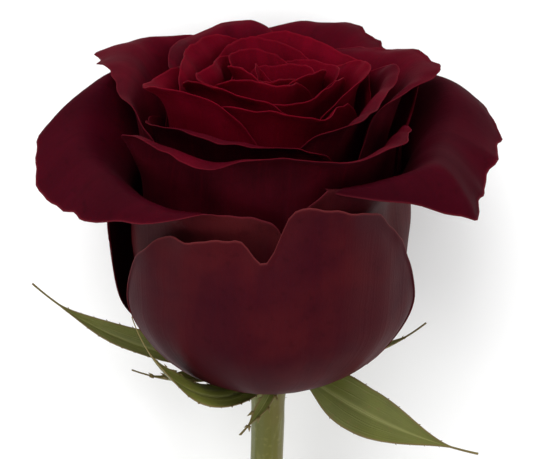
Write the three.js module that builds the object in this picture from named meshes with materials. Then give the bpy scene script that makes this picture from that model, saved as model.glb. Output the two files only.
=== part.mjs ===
// A cut rose lying on its side: one dark red bloom in its calyx, on a stem cut short.
// Lengths are millimetres and angles are degrees until they are used.
//
// The rose is modelled standing up in its own frame: the stem's axis is Z, the petals join the
// stem at z = CLAW_HEIGHT, and azimuths turn from +X (right) over +Y (the side it lies on).
// The whole rose is then laid down with its bloom towards +Y, so that -Y in its own frame
// faces up, and moved so that the middle of its lowest face is the origin.
import * as THREE from "three";

const radians = THREE.MathUtils.degToRad;
const { lerp, smoothstep } = THREE.MathUtils;

// Stem
const STEM_LENGTH = 112; // from the bloom's lowest part to the cut
const STEM_RADIUS = 3.1;
const CUT_RADIUS = 3.4;
const CUT_SLOPE = 0.55; // slanting cut: rise for each unit across
const HIP_RADIUS = 5.7;
const STEM_BOW = 3.2;
const STEM_SIDES = 16;

// Bloom
const PETAL_COUNT = 29;
const GOLDEN_ANGLE = 137.5; // turn from each petal to the next one in
const PETAL_THICKNESS = 0.36;
const CLAW_HEIGHT = 5.2; // where the petals join the stem, above the lowest part of the bloom
const CLAW_CLIMB = 6; // how much higher the innermost claw sits than the outermost
const CLAW_HALF_WIDTH = 2.2;
const CLAW_LIMIT = 36; // most that a claw wraps round the middle to each side
const OUTER_WRAP = 84; // most that a petal wraps round the bloom to each side
const INNER_WRAP = 100;
const OUTER_CLAW_RADIUS = HIP_RADIUS - 0.1;
const INNER_CLAW_RADIUS = 1.1;
const BLOOM_HEIGHT = 56.5; // rims of the middle petals
const BELLY_HEIGHT = 27; // widest level of the outer petals
const OUTER_COLUMNS = 12;
const INNER_COLUMNS = 11;
const PETAL_ROWS = 9;
const NOTCH_WIDTH = 0.09; // of a notch or a tip, as a share of half the petal
const INNER_DRIFT = 0.12; // a middle petal's edges: one tucked in, one outside its neighbour

// Whole-bloom unevenness: a gentle swirl that leaves neighbouring petals apart
const SWIRL = 1.5;
const SWIRL_LENGTH = 27;
const HEART_SWIRL = 1.15; // a tighter swirl that folds the middle petals
const HEART_SWIRL_LENGTH = 11.5;
const HEART_RADIUS = 16; // how far out the tighter swirl reaches

// Sepals
const SEPAL_THICKNESS = 0.55;
const SEPAL_COLUMNS = 4;
const SEPAL_ROWS = 14;

// How it lies
const REST_TILT = 11; // the stem's rise towards the bloom
const PRESS_SOFTNESS = 5; // how gradually a petal flattens where it meets the surface
const PRESS_STEP = 0.9; // each further petal in is held this much off the surface

// The outer petals, from the outside in. Every further petal follows the rule in innerPetal().
//   azimuth  where its middle stands      belly   radius at its widest level
//   height   level of its rim or crest    flare   how far its rim stands out beyond the belly
//   width    half its width               corner  how much shorter its sides are than its middle
//   droop    how far the rim falls past the crest (below 0 it still climbs)
//   peak     where across it (-1 to 1) it flares most and has its notch (a cleft) or tip (a point)
//   hold     how far round the peak it flares fully, and spread, where only side, a share, is left
//   lean     how much higher its crest is halfway to its side at 1 than in the middle
//   sag      how much further its rim falls halfway to its side at -1
//   slant    how much longer it is on one side of its peak, and wave, how uneven its rim is
//   drift    how much further out its side at 1 stands than its middle
const PLAIN = {
  droop: 0, peak: 0, hold: 0, spread: 1, side: 0.4, lean: 0, slant: 0, notch: 0, tip: 0, drift: 0,
  sag: 0,
};
const OUTER_PETALS = [
  { azimuth: 273, belly: 26.8, height: 41.7, flare: 0.2, width: 34, corner: 0.68,
    droop: -1.2, peak: -0.06, slant: 0.055, notch: 0.12, side: 0, wave: 0.3, drift: 0.3 },
  { azimuth: 134, belly: 27.4, height: 45.0, flare: 14, width: 28, corner: 0.3,
    droop: 2, side: 0.1, wave: 0.8 },
  { azimuth: 352, belly: 24.3, height: 49.4, flare: 14.5, width: 31, corner: 0.12,
    droop: 3.2, peak: 0.02, hold: 0.5, spread: 0.92, side: 0.05, lean: 1.6, sag: 6,
    tip: 0.02, wave: 0.5 },
  { azimuth: 202, belly: 23.6, height: 48, flare: 15, width: 29, corner: 0.2,
    droop: 4.5, peak: -0.04, hold: 0.3, spread: 0.8, side: 0.15, lean: -5.5, tip: 0.03, wave: 0.6 },
  { azimuth: 65, belly: 22.2, height: 54.0, flare: 11, width: 26, corner: 0.18,
    side: 0.65, wave: 0.6 },
  { azimuth: 275, belly: 21.6, height: 52.5, flare: 5, width: 31, corner: 0.12,
    droop: -1.5, side: 1.9, wave: 0.4 },
  { azimuth: 156, belly: 20.5, height: 55.9, flare: 11.5, width: 26, corner: 0.34,
    droop: 1, peak: -0.1, hold: 0.1, side: 0.3, tip: 0.02, wave: 0.5 },
  { azimuth: 23, belly: 19.8, height: 55.1, flare: 9.5, width: 25, corner: 0.24,
    droop: -1, peak: -0.1, side: 0.15, wave: 0.5 },
  { azimuth: 243, belly: 18.5, height: 53.5, flare: 5, width: 24, corner: 0.2,
    droop: -1.5, side: 0.5, wave: 0.5 },
  { azimuth: 116, belly: 17.7, height: 55.6, flare: 6.0, width: 22, corner: 0.26,
    droop: -1, wave: 0.7 },
];

// The sepals and the small leafy bract, named by the side of the bloom they show on.
//   azimuth, turn   where it starts and how far it swings round by its tip
//   length, width   along its middle and half across at its widest
//   rise            slope of its first part (below 0 it hangs), and lift, how much it curls up
//   cup, twist      how far its edges fold up, and how far it is turned about its middle line
const SEPALS = {
  sepal_left: { azimuth: 170, turn: -4, length: 41, width: 3.3, rise: -6, lift: 44,
    cup: 0.4, twist: -20 },
  sepal_front_left: { azimuth: 247, turn: -25, length: 36, width: 3.6, rise: -2, lift: 88,
    cup: 0.1, twist: -28 },
  sepal_front: { azimuth: 280, turn: -36, length: 10.5, width: 1.3, rise: -34, lift: -50,
    cup: 0.4, twist: 0 },
  sepal_right: { azimuth: 336, turn: 4, length: 35.5, width: 4.6, rise: -30, lift: 26,
    cup: 0.3, twist: 48 },
  sepal_back: { azimuth: 20, turn: 6, length: 27.5, width: 2.2, rise: -20, lift: 42,
    cup: 0.4, twist: 0 },
  bract_left: { azimuth: 205, turn: -6, length: 20, width: 1.9, rise: -6, lift: 34,
    cup: 0.4, twist: 0 },
};

const petalColour = new THREE.Color(0.3, 0.01, 0.04);
const leafColour = new THREE.Color(0.16, 0.18, 0.05);
const petalMaterial = new THREE.MeshStandardMaterial({ color: petalColour, roughness: 0.6, metalness: 0 });
const sepalMaterial = new THREE.MeshStandardMaterial({ color: leafColour, roughness: 0.6, metalness: 0 });
const stemMaterial = new THREE.MeshStandardMaterial({ color: leafColour, roughness: 0.45, metalness: 0 });

// The petals inside the outer ones: each stands a golden angle on and a step further in.
function innerPetal(index) {
  const inward = (index - OUTER_PETALS.length) / (PETAL_COUNT - 1 - OUTER_PETALS.length);
  const nearHeart = smoothstep(inward, 0.75, 1);
  return {
    azimuth: OUTER_PETALS[0].azimuth - GOLDEN_ANGLE * index,
    belly: lerp(16.8, 2.5, inward),
    height: BLOOM_HEIGHT - 1.5 * nearHeart + 1.2 * Math.sin(2.4 * index),
    flare: lerp(5.5, 0.6, Math.sqrt(inward)),
    droop: -2,
    width: lerp(21, 9, inward),
    corner: 0.3,
    side: 0.6,
    wave: lerp(0.5, 0.2, inward),
    lean: 0.5 * Math.sin(1.9 * index),
    drift: -INNER_DRIFT,
  };
}

// The line that a petal follows from its claw to its rim at u, as a curve in [radius, height].
function petalProfile(petal, depth, u) {
  const belly = petal.belly + petal.drift * u;
  const fall = smoothstep(Math.abs(u - petal.peak), petal.hold, petal.spread);
  const flare = petal.flare * lerp(1, petal.side, fall);
  const droop = petal.droop * (petal.droop > 0 ? 1 - fall : 1);
  const lean = Math.sin(Math.PI * u);
  const sag = petal.sag * Math.max(0, -lean);
  const height = petal.height + petal.lean * lean;
  const rim = height - droop - sag;
  const claw = lerp(INNER_CLAW_RADIUS, OUTER_CLAW_RADIUS, depth);
  const dip = 2.8 * depth ** 2;
  const reach = belly - claw;
  const widest = lerp(0.7 * petal.height, BELLY_HEIGHT, depth);
  const shoulder = height - widest;
  const points = [
    [claw, CLAW_HEIGHT + CLAW_CLIMB * (1 - depth)],
    [claw + 0.22 * reach, lerp(CLAW_HEIGHT + 1.6 * CLAW_CLIMB, CLAW_HEIGHT - dip, depth ** 0.7)],
    [claw + 0.62 * reach, lerp(0.38 * height, 6.2, depth ** 0.8)],
    [claw + 0.92 * reach, lerp(0.55 * height, 15, depth)],
    [belly, widest],
    [belly + 0.03 * flare, widest + 0.68 * shoulder],
    [belly + 0.5 * flare, widest + shoulder],
    [belly + flare, rim],
  ];
  const knots = points.map(([r, z]) => new THREE.Vector3(r, z, 0));
  return new THREE.CatmullRomCurve3(knots, false, "chordal");
}

// How much of the profile's length the petal has at u, from -1 to 1 across it.
function rimReach({ corner, peak, slant, notch, tip }, u) {
  const rounded = 1 - corner * (1 - Math.sqrt(Math.max(0, 1 - Math.abs(u) ** 2.6)));
  const feature = Math.exp(-(((u - peak) / NOTCH_WIDTH) ** 2));
  const step = Math.tanh((u - peak) / (0.7 * NOTCH_WIDTH));
  return rounded + slant * (1 - u * u) ** 3 * step + (tip - notch) * feature;
}

// Two smooth pushes, one inside the other, that keep every petal in its order but make the bloom uneven.
function swirl(p) {
  const share = SWIRL * smoothstep(p.z, 12, 50);
  const turn = (2 * Math.PI) / SWIRL_LENGTH;
  const x = p.x + share * Math.sin(turn * p.y + 0.6);
  const y = p.y + share * Math.sin(turn * p.x + 2.1);
  const z = p.z + 0.7 * share * Math.sin(0.11 * p.x - 0.9 * turn * p.y);
  const nearby = 1 - smoothstep(Math.hypot(x, y), 0.4 * HEART_RADIUS, HEART_RADIUS);
  const inner = HEART_SWIRL * smoothstep(p.z, 20, 50) * nearby;
  const fold = (2 * Math.PI) / HEART_SWIRL_LENGTH;
  return p.set(x + inner * Math.sin(fold * y + 1), y + inner * Math.sin(fold * x + 4), z);
}

// Flattens what would reach through the surface that the rose lies on.
function press(p, held) {
  const tilt = radians(REST_TILT);
  const surface = CUT_RADIUS * Math.cos(tilt) + STEM_LENGTH * Math.sin(tilt) - held;
  const depth = p.y * Math.cos(tilt) - p.z * Math.sin(tilt);
  const start = surface - PRESS_SOFTNESS;
  if (depth <= start) return p;
  const pushed = start + PRESS_SOFTNESS * Math.tanh((depth - start) / PRESS_SOFTNESS) - depth;
  return p.set(p.x, p.y + pushed * Math.cos(tilt), p.z - pushed * Math.sin(tilt));
}

// The middle surface of petal number index: u runs across it from -1 to 1, v from claw to rim.
function petalSurface(petal, index) {
  const depth = 1 - index / (PETAL_COUNT - 1);
  const widest = lerp(INNER_WRAP, OUTER_WRAP, depth);
  const profiles = new Map();
  return (u, v) => {
    if (!profiles.has(u)) profiles.set(u, petalProfile(petal, depth, u));
    const profile = profiles.get(u);
    const reach = v * rimReach(petal, u);
    const s = Math.min(1, reach);
    const at = profile.getPointAt(s);
    const beyond = profile.getTangentAt(s).multiplyScalar((reach - s) * profile.getLength());
    const ripple = petal.wave * smoothstep(s, 0.45, 1) * Math.sin(5.2 * u + 1.7 * index);
    const radius = at.x + beyond.x + 0.5 * ripple;
    const height = at.y + beyond.y + ripple;
    const half = lerp(CLAW_HALF_WIDTH, petal.width, smoothstep(s, 0, 0.58));
    const limit = radians(lerp(CLAW_LIMIT, widest, smoothstep(s, 0.1, 0.6)));
    const angle = radians(petal.azimuth) + u * Math.min(limit, half / radius);
    const p = new THREE.Vector3(radius * Math.cos(angle), radius * Math.sin(angle), height);
    return press(swirl(p), PRESS_STEP * index);
  };
}

// A sepal's middle surface: v runs from the hip to the tip, u across it.
function sepalSurface({ azimuth, turn, length, width, rise, lift, cup, twist }) {
  const start = new THREE.Vector3(HIP_RADIUS + 0.4, 0, 0.7);
  const steps = 40;
  const spine = [start];
  for (let i = 0; i < steps; i++) {
    const slope = radians(lerp(rise, rise + lift, i / steps));
    const last = spine[i];
    spine.push(new THREE.Vector3(last.x + (Math.cos(slope) * length) / steps, 0,
      last.z + (Math.sin(slope) * length) / steps));
  }
  const curve = new THREE.CatmullRomCurve3(spine);
  return (u, v) => {
    const at = curve.getPointAt(v);
    const along = curve.getTangentAt(v);
    const blade = lerp(0.72, 1, smoothstep(v, 0, 0.35)) * (1 - smoothstep(v, 0.4, 0.9));
    const half = Math.max(0.3, width * (0.85 * blade + 0.15 * (1 - v)));
    const roll = radians(twist) * smoothstep(v, 0, 0.4);
    const fold = cup * half * u * u;
    const side = u * half * Math.cos(roll) - fold * Math.sin(roll);
    const up = u * half * Math.sin(roll) + fold * Math.cos(roll);
    const angle = radians(azimuth + turn * v);
    const radius = at.x - up * along.z;
    const height = at.z + up * along.x;
    return new THREE.Vector3(
      radius * Math.cos(angle) - side * Math.sin(angle),
      radius * Math.sin(angle) + side * Math.cos(angle),
      height,
    );
  };
}

// A closed skin half a thickness each side of surface(u, v).
function shell(surface, columns, rows, thickness) {
  const step = 1e-3;
  const across = columns + 1;
  const skinSize = across * (rows + 1);
  const positions = new Float32Array(2 * skinSize * 3);
  for (let j = 0; j <= rows; j++) {
    for (let i = 0; i <= columns; i++) {
      const u = (2 * i) / columns - 1;
      const v = j / rows;
      const du = surface(Math.min(1, u + step), v).sub(surface(Math.max(-1, u - step), v));
      const dv = surface(u, Math.min(1, v + step)).sub(surface(u, Math.max(0, v - step)));
      const offset = du.cross(dv).normalize().multiplyScalar(thickness / 2);
      const middle = surface(u, v);
      const at = j * across + i;
      middle.clone().add(offset).toArray(positions, 3 * at);
      middle.clone().sub(offset).toArray(positions, 3 * (at + skinSize));
    }
  }
  const triangles = [];
  for (let j = 0; j < rows; j++) {
    for (let i = 0; i < columns; i++) {
      const a = j * across + i;
      const [b, c, d] = [a + 1, a + across + 1, a + across];
      triangles.push(a, b, c, a, c, d);
      triangles.push(a + skinSize, c + skinSize, b + skinSize, a + skinSize, d + skinSize, c + skinSize);
    }
  }
  const edge = [];
  for (let i = 0; i < columns; i++) edge.push(i);
  for (let j = 0; j < rows; j++) edge.push(j * across + columns);
  for (let i = columns; i > 0; i--) edge.push(rows * across + i);
  for (let j = rows; j > 0; j--) edge.push(j * across);
  edge.forEach((a, k) => {
    const b = edge[(k + 1) % edge.length];
    triangles.push(a, a + skinSize, b + skinSize, a, b + skinSize, b);
  });
  const geometry = new THREE.BufferGeometry();
  geometry.setAttribute("position", new THREE.BufferAttribute(positions, 3));
  geometry.setIndex(triangles);
  return geometry;
}

// The stem and the hip that swells out of it under the bloom, grown as one piece.
function stemGeometry() {
  const top = CLAW_HEIGHT - 1.1;
  const outline = [
    [0, -STEM_LENGTH],
    [CUT_RADIUS * 0.82, -STEM_LENGTH],
    [CUT_RADIUS, -STEM_LENGTH + 1],
    [lerp(STEM_RADIUS, CUT_RADIUS, 0.6), -0.66 * STEM_LENGTH],
    [lerp(STEM_RADIUS, CUT_RADIUS, 0.3), -0.33 * STEM_LENGTH],
    [STEM_RADIUS, -12],
    [STEM_RADIUS + 0.15, -6],
    [STEM_RADIUS + 0.9, -2.6],
    [HIP_RADIUS - 0.7, 0],
    [HIP_RADIUS, 2],
    [HIP_RADIUS - 0.5, top],
    [1.2, top + 0.8],
    [0, top + 0.8],
  ];
  const geometry = new THREE.LatheGeometry(outline.map(([r, z]) => new THREE.Vector2(r, z)), STEM_SIDES);
  geometry.rotateX(Math.PI / 2);
  const position = geometry.getAttribute("position");
  for (let i = 0; i < position.count; i++) {
    const share = smoothstep(-position.getZ(i), 0, STEM_LENGTH);
    const cut = smoothstep(-position.getZ(i), STEM_LENGTH - 2, STEM_LENGTH);
    position.setZ(i, position.getZ(i) + cut * CUT_SLOPE * position.getX(i));
    position.setX(i, position.getX(i) - STEM_BOW * share);
  }
  return geometry;
}

function addMesh(group, name, geometry, material) {
  const mesh = new THREE.Mesh(geometry, material);
  mesh.name = name;
  group.add(mesh);
}

function rose() {
  const upright = new THREE.Group();
  addMesh(upright, "stem", stemGeometry(), stemMaterial);
  for (const [name, sepal] of Object.entries(SEPALS)) {
    const geometry = shell(sepalSurface(sepal), SEPAL_COLUMNS, SEPAL_ROWS, SEPAL_THICKNESS);
    addMesh(upright, name, geometry, sepalMaterial);
  }
  for (let index = 0; index < PETAL_COUNT; index++) {
    const petal = { ...PLAIN, ...(OUTER_PETALS[index] ?? innerPetal(index)) };
    const name = `petal_${String(index + 1).padStart(2, "0")}`;
    const columns = index < OUTER_PETALS.length ? OUTER_COLUMNS : INNER_COLUMNS;
    const geometry = shell(petalSurface(petal, index), columns, PETAL_ROWS, PETAL_THICKNESS);
    addMesh(upright, name, geometry, petalMaterial);
  }
  return upright;
}

const lying = rose();
lying.rotation.x = radians(REST_TILT - 90);
const part = new THREE.Group();
part.add(lying);
const box = new THREE.Box3().setFromObject(part, true);
const middle = box.getCenter(new THREE.Vector3());
lying.position.set(-middle.x, -middle.y, -box.min.z);

export default part;
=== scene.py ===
"""A cut rose that lies on its side: its bloom, calyx and stem, dressed for a studio picture.

The rose grows in its own frame: its stem's axis is Z, the petals join it at CLAW_HEIGHT, and azimuths turn
from +X over +Y, the side that it lies on. Lengths in that frame are millimetres. Resting lays it down in the
part's frame, in metres, by the corners of the stem's solid.
"""

from __future__ import annotations

import logging
import math
from dataclasses import dataclass, field
from enum import Enum

import bpy
import numpy as np
from bpy.types import Material, Mesh, Node, NodeOutputs, NodeSocket, NodeTree, Object
from mathutils import Matrix, Vector

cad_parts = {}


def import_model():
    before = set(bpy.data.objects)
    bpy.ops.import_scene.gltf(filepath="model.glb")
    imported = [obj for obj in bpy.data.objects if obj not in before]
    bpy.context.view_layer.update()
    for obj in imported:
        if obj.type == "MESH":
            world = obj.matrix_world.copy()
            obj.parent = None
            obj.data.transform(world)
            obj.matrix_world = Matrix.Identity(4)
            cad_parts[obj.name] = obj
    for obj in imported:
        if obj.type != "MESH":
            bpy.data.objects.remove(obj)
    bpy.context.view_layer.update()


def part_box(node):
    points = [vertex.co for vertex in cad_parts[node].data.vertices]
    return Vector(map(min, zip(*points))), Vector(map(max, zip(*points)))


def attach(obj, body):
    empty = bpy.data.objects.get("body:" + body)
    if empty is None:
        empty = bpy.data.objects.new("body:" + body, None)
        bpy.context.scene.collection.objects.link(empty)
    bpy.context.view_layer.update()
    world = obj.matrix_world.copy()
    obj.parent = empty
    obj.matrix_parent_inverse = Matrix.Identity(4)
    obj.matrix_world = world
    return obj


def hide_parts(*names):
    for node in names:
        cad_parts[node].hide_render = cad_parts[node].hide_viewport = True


log = logging.getLogger("rose")

MILLIMETRE = 0.001
GOLDEN_ANGLE = 137.5
CLAW_HEIGHT = 5.2
STEM_LENGTH = 112.0
REST_TILT = 11.0
NOTCH_WIDTH = 0.09
FIRST_MIDDLE_PETAL = 4
FIRST_HEART_PETAL = 11

Colour = tuple[float, float, float]


def lerp(low: float, high: float, share: np.ndarray | float) -> np.ndarray | float:
    """The value a share of the way from low to high."""
    return low + (high - low) * share


def smoothstep(value: np.ndarray | float, low: float, high: float) -> np.ndarray | float:
    """0 up to low, 1 from high on, and an even rise in between."""
    share = np.clip((value - low) / (high - low), 0.0, 1.0)
    return share * share * (3.0 - 2.0 * share)


def unit(vectors: np.ndarray) -> np.ndarray:
    """The same directions with a length of one."""
    return vectors / np.maximum(np.linalg.norm(vectors, axis=-1, keepdims=True), 1e-12)


# ---------------------------------------------------------------------------------------------------------
# Shapes


def spline(knots: np.ndarray, samples: int = 24) -> np.ndarray:
    """Samples a chordal Catmull-Rom curve through its knots.

    Args:
        knots: Points of shape (knots, ..., 2), the first axis along the curve.
        samples: Points in each stretch between two knots.

    Returns:
        Points of shape (samples * (knots - 1) + 1, ..., 2).
    """
    ends = [2 * knots[:1] - knots[1:2], knots, 2 * knots[-1:] - knots[-2:-1]]
    p = np.concatenate(ends)
    gap = np.maximum(np.linalg.norm(np.diff(p, axis=0), axis=-1, keepdims=True), 1e-6)
    pieces = []
    for i in range(len(knots) - 1):
        a, b, c, d = p[i], p[i + 1], p[i + 2], p[i + 3]
        before, here, after = gap[i], gap[i + 1], gap[i + 2]
        leave = here * ((b - a) / before - (c - a) / (before + here) + (c - b) / here)
        arrive = here * ((c - b) / here - (d - b) / (here + after) + (d - c) / after)
        t = np.linspace(0, 1, samples, endpoint=False).reshape((-1,) + (1,) * b.ndim)
        pieces.append(
            b + leave * t + (3 * (c - b) - 2 * leave - arrive) * t**2 + (2 * (b - c) + leave + arrive) * t**3
        )
    pieces.append(knots[-1:])
    return np.concatenate(pieces)


def along(curve: np.ndarray, share: np.ndarray) -> tuple[np.ndarray, np.ndarray, float]:
    """Finds points by their share of a curve's length, past its end too.

    Args:
        curve: The curve's samples, of shape (samples, 2).
        share: Shares of its length, from 0 on.

    Returns:
        The points, the unit directions there, and the curve's length.
    """
    step = np.linalg.norm(np.diff(curve, axis=0), axis=1)
    travelled = np.concatenate([[0.0], np.cumsum(step)])
    length = travelled[-1]
    inside = np.clip(share, 0.0, 1.0) * length
    at = np.stack([np.interp(inside, travelled, curve[:, k]) for k in range(2)], axis=-1)
    slope = unit(np.gradient(curve, travelled, axis=0))
    heading = unit(np.stack([np.interp(inside, travelled, slope[:, k]) for k in range(2)], axis=-1))
    beyond = np.maximum(share - 1.0, 0.0)[..., None] * length
    return at + heading * beyond, heading, float(length)


@dataclass(frozen=True)
class Swirl:
    """Gentle pushes through the whole bloom that make it uneven and keep its petals in their order."""

    reach: float = 1.5
    wavelength: float = 27.0
    heart_reach: float = 1.15
    heart_wavelength: float = 11.5
    heart_radius: float = 16.0
    start: float = 12.0
    heart_start: float = 20.0
    full: float = 50.0
    tilt: float = 0.7

    def apply(self, p: np.ndarray) -> np.ndarray:
        """The points after the broad push and then the heart's tighter one, in the rose's own frame."""
        x, y, z = p[..., 0], p[..., 1], p[..., 2]
        share = self.reach * smoothstep(z, self.start, self.full)
        turn = 2 * math.pi / self.wavelength
        moved_x = x + share * np.sin(turn * y + 0.6)
        moved_y = y + share * np.sin(turn * x + 2.1)
        moved_z = z + self.tilt * share * np.sin(0.11 * x - 0.9 * turn * y)
        nearby = 1 - smoothstep(np.hypot(moved_x, moved_y), 0.4 * self.heart_radius, self.heart_radius)
        inner = self.heart_reach * smoothstep(z, self.heart_start, self.full) * nearby
        fold = 2 * math.pi / self.heart_wavelength
        folded_x = moved_x + inner * np.sin(fold * moved_y + 1)
        folded_y = moved_y + inner * np.sin(fold * moved_x + 4)
        return np.stack([folded_x, folded_y, moved_z], axis=-1)


@dataclass(frozen=True)
class Resting:
    """How the rose lies: its place in the part's frame, and how petals flatten on the surface."""

    offset: Vector
    cut_radius: float = 3.4
    softness: float = 5.0
    hold: float = 0.9

    @staticmethod
    def on_frame(stem: Stem) -> Resting:
        """Finds the place from the corners of the stem's solid.

        Args:
            stem: The stem, whose outline gives its own highest corners.

        Returns:
            The place of the lying rose.
        """
        low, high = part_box("stem")
        tilt = math.radians(REST_TILT)
        radius, level = np.array(stem.outline()).T
        top_y = float(np.max(radius * math.sin(tilt) + level * math.cos(tilt)))
        top_z = float(np.max(radius * math.cos(tilt) + level * math.sin(tilt)))
        left = -(stem.bow + stem.cut_radius)
        corner = Vector((left, top_y, top_z)) * MILLIMETRE
        return Resting(Vector((low.x, high.y, high.z)) - corner, cut_radius=stem.cut_radius)

    def matrix(self) -> Matrix:
        """The turn and shift from the rose's own frame, in metres, to the part's."""
        turn = Matrix.Rotation(math.radians(REST_TILT - 90), 4, "X")
        return Matrix.Translation(self.offset) @ turn

    def place(self, p: np.ndarray) -> np.ndarray:
        """Millimetres in the rose's own frame to metres in the part's."""
        m = np.array(self.matrix())
        return MILLIMETRE * p @ m[:3, :3].T + m[:3, 3]

    def press(self, p: np.ndarray, layer: int) -> np.ndarray:
        """Flattens what would reach through the surface.

        Args:
            p: Points in the rose's own frame.
            layer: How many petals lie between these points and the surface.

        Returns:
            The points, each at or above the surface.
        """
        tilt = math.radians(REST_TILT)
        surface = self.cut_radius * math.cos(tilt) + STEM_LENGTH * math.sin(tilt) - self.hold * layer
        depth = p[..., 1] * math.cos(tilt) - p[..., 2] * math.sin(tilt)
        start = surface - self.softness
        pushed = start + self.softness * np.tanh((depth - start) / self.softness) - depth
        share = np.where(depth > start, pushed, 0.0)
        shift = np.stack([0 * share, share * math.cos(tilt), -share * math.sin(tilt)], axis=-1)
        return p + shift


class Zone(Enum):
    """Which part of the bloom a petal belongs to, for its finish."""

    BOWL = "bowl"
    GUARD = "guard"
    MIDDLE = "middle"
    HEART = "heart"


@dataclass(frozen=True)
class Petal:
    """One petal's sizes, in the terms that the part's source uses."""

    index: int
    azimuth: float
    belly: float
    height: float
    flare: float
    width: float
    corner: float
    wave: float
    droop: float = 0.0
    peak: float = 0.0
    hold: float = 0.0
    spread: float = 1.0
    side: float = 0.4
    lean: float = 0.0
    slant: float = 0.0
    notch: float = 0.0
    tip: float = 0.0
    drift: float = 0.0
    sag: float = 0.0

    @property
    def node(self) -> str:
        """The name of the solid that this petal stands for."""
        return f"petal_{self.index + 1:02d}"

    @property
    def zone(self) -> Zone:
        """The part of the bloom that it belongs to."""
        if self.index == 0:
            return Zone.BOWL
        if self.index < FIRST_MIDDLE_PETAL:
            return Zone.GUARD
        return Zone.MIDDLE if self.index < FIRST_HEART_PETAL else Zone.HEART


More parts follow.
